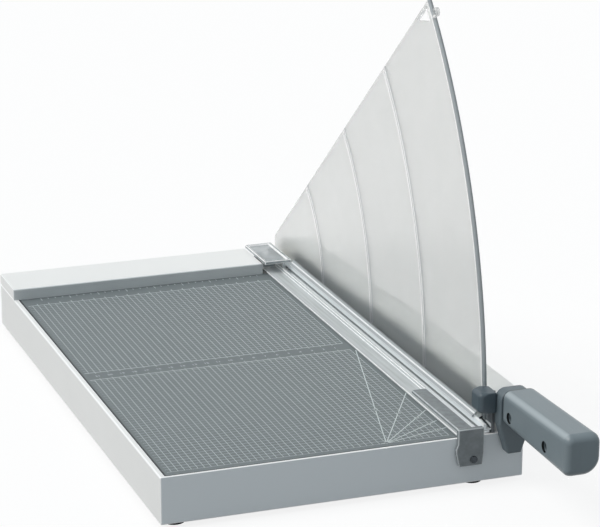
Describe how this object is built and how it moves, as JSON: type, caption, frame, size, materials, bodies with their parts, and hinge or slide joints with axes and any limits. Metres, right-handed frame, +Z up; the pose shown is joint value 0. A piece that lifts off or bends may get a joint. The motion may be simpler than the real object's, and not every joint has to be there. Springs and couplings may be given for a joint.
{
  "type": "guillotine paper cutter",
  "caption": "Guillotine paper cutter with a grey gridded table, clear quarter-round blade guard, spring-lifted clamp bar and a grey-handled blade arm",
  "frame": {"origin": "middle of the footprint of base and handle, on the surface that the feet stand on", "axes": "+X to the right, towards the cutting arm; +Y to the back, along the cut away from the handle; +Z up"},
  "size_m": [0.287, 0.597, 0.3427],
  "materials": {
    "white_paint": "smooth satin off-white paint",
    "white_aluminium": "satin off-white powder coat",
    "grey_steel": "dull dark grey paint",
    "table_print": "mid grey with a pale printed grid, rulers and angle lines",
    "pale_plastic": "pale grey, dull",
    "rubber": "black",
    "screw_steel": "zinc plated",
    "spring_steel": "oiled",
    "blade_steel": "ground",
    "plate_steel": "plain",
    "clear_plastic": "clear, transparent, glossy",
    "frosted_plastic": "clear with a fine frosted texture",
    "smoky_plastic": "smoky grey, see-through",
    "nylon": "natural nylon",
    "knuckle_alloy": "as cast",
    "bronze": "sintered bronze",
    "dark_plastic": "dark slate, fine texture",
    "handle_plastic": "blue-grey satin"
  },
  "bodies": {
    "base": {"base_tray": "white_paint", "bottom_plate": "grey_steel", "bottom_plate_screws": "screw_steel", "rubber_feet": "rubber", "foot_screws": "screw_steel", "cutting_table": "table_print", "back_rail": "white_paint", "rail_facing": "pale_plastic", "rail_screws": "screw_steel", "bed_knife": "blade_steel", "bed_knife_screws": "screw_steel", "guard_channel": "clear_plastic", "guard_channel_screw": "screw_steel", "guard_panel": "clear_plastic", "pivot_bracket": "plate_steel", "bracket_screws": "screw_steel", "pivot_bolt": "screw_steel", "pivot_nut": "screw_steel", "thrust_washer": "nylon", "disc_spring": "spring_steel", "clamp_front_spring": "spring_steel", "clamp_rear_spring": "spring_steel"},
    "arm": {"arm_beam": "white_aluminium", "upper_blade": "blade_steel", "blade_screws": "screw_steel", "pivot_knuckle": "knuckle_alloy", "knuckle_screws": "screw_steel", "pivot_bush": "bronze", "guard_slider": "dark_plastic", "slider_screw": "screw_steel", "hand_guard": "dark_plastic", "handle_tang": "plate_steel", "tang_screws": "screw_steel", "handle_left_shell": "handle_plastic", "handle_right_shell": "handle_plastic", "handle_screws": "screw_steel"},
    "clamp": {"clamp_bar": "frosted_plastic", "clamp_front_cap": "smoky_plastic", "clamp_back_plate": "frosted_plastic", "clamp_screws": "screw_steel", "clamp_posts": "screw_steel", "clamp_guide_screw": "screw_steel", "clamp_guide_nut": "screw_steel"}
  },
  "joints": [
    {"name": "arm_pivot", "type": "hinge", "parent": "base", "child": "arm", "pos_m": [0.1285, 0.2815, 0.0387], "axis": [-1, 0, 0], "range_deg": [0, 35.6]},
    {"name": "clamp_press", "type": "slide", "parent": "base", "child": "clamp", "axis": [0, 0, 1], "range_m": [0, 0.006], "deforming": ["clamp_front_spring", "clamp_rear_spring"]}
  ],
  "couplings": [
    {"joint": "clamp_press", "follows": "arm_pivot", "m_per_rad": 0.009656}
  ]
}
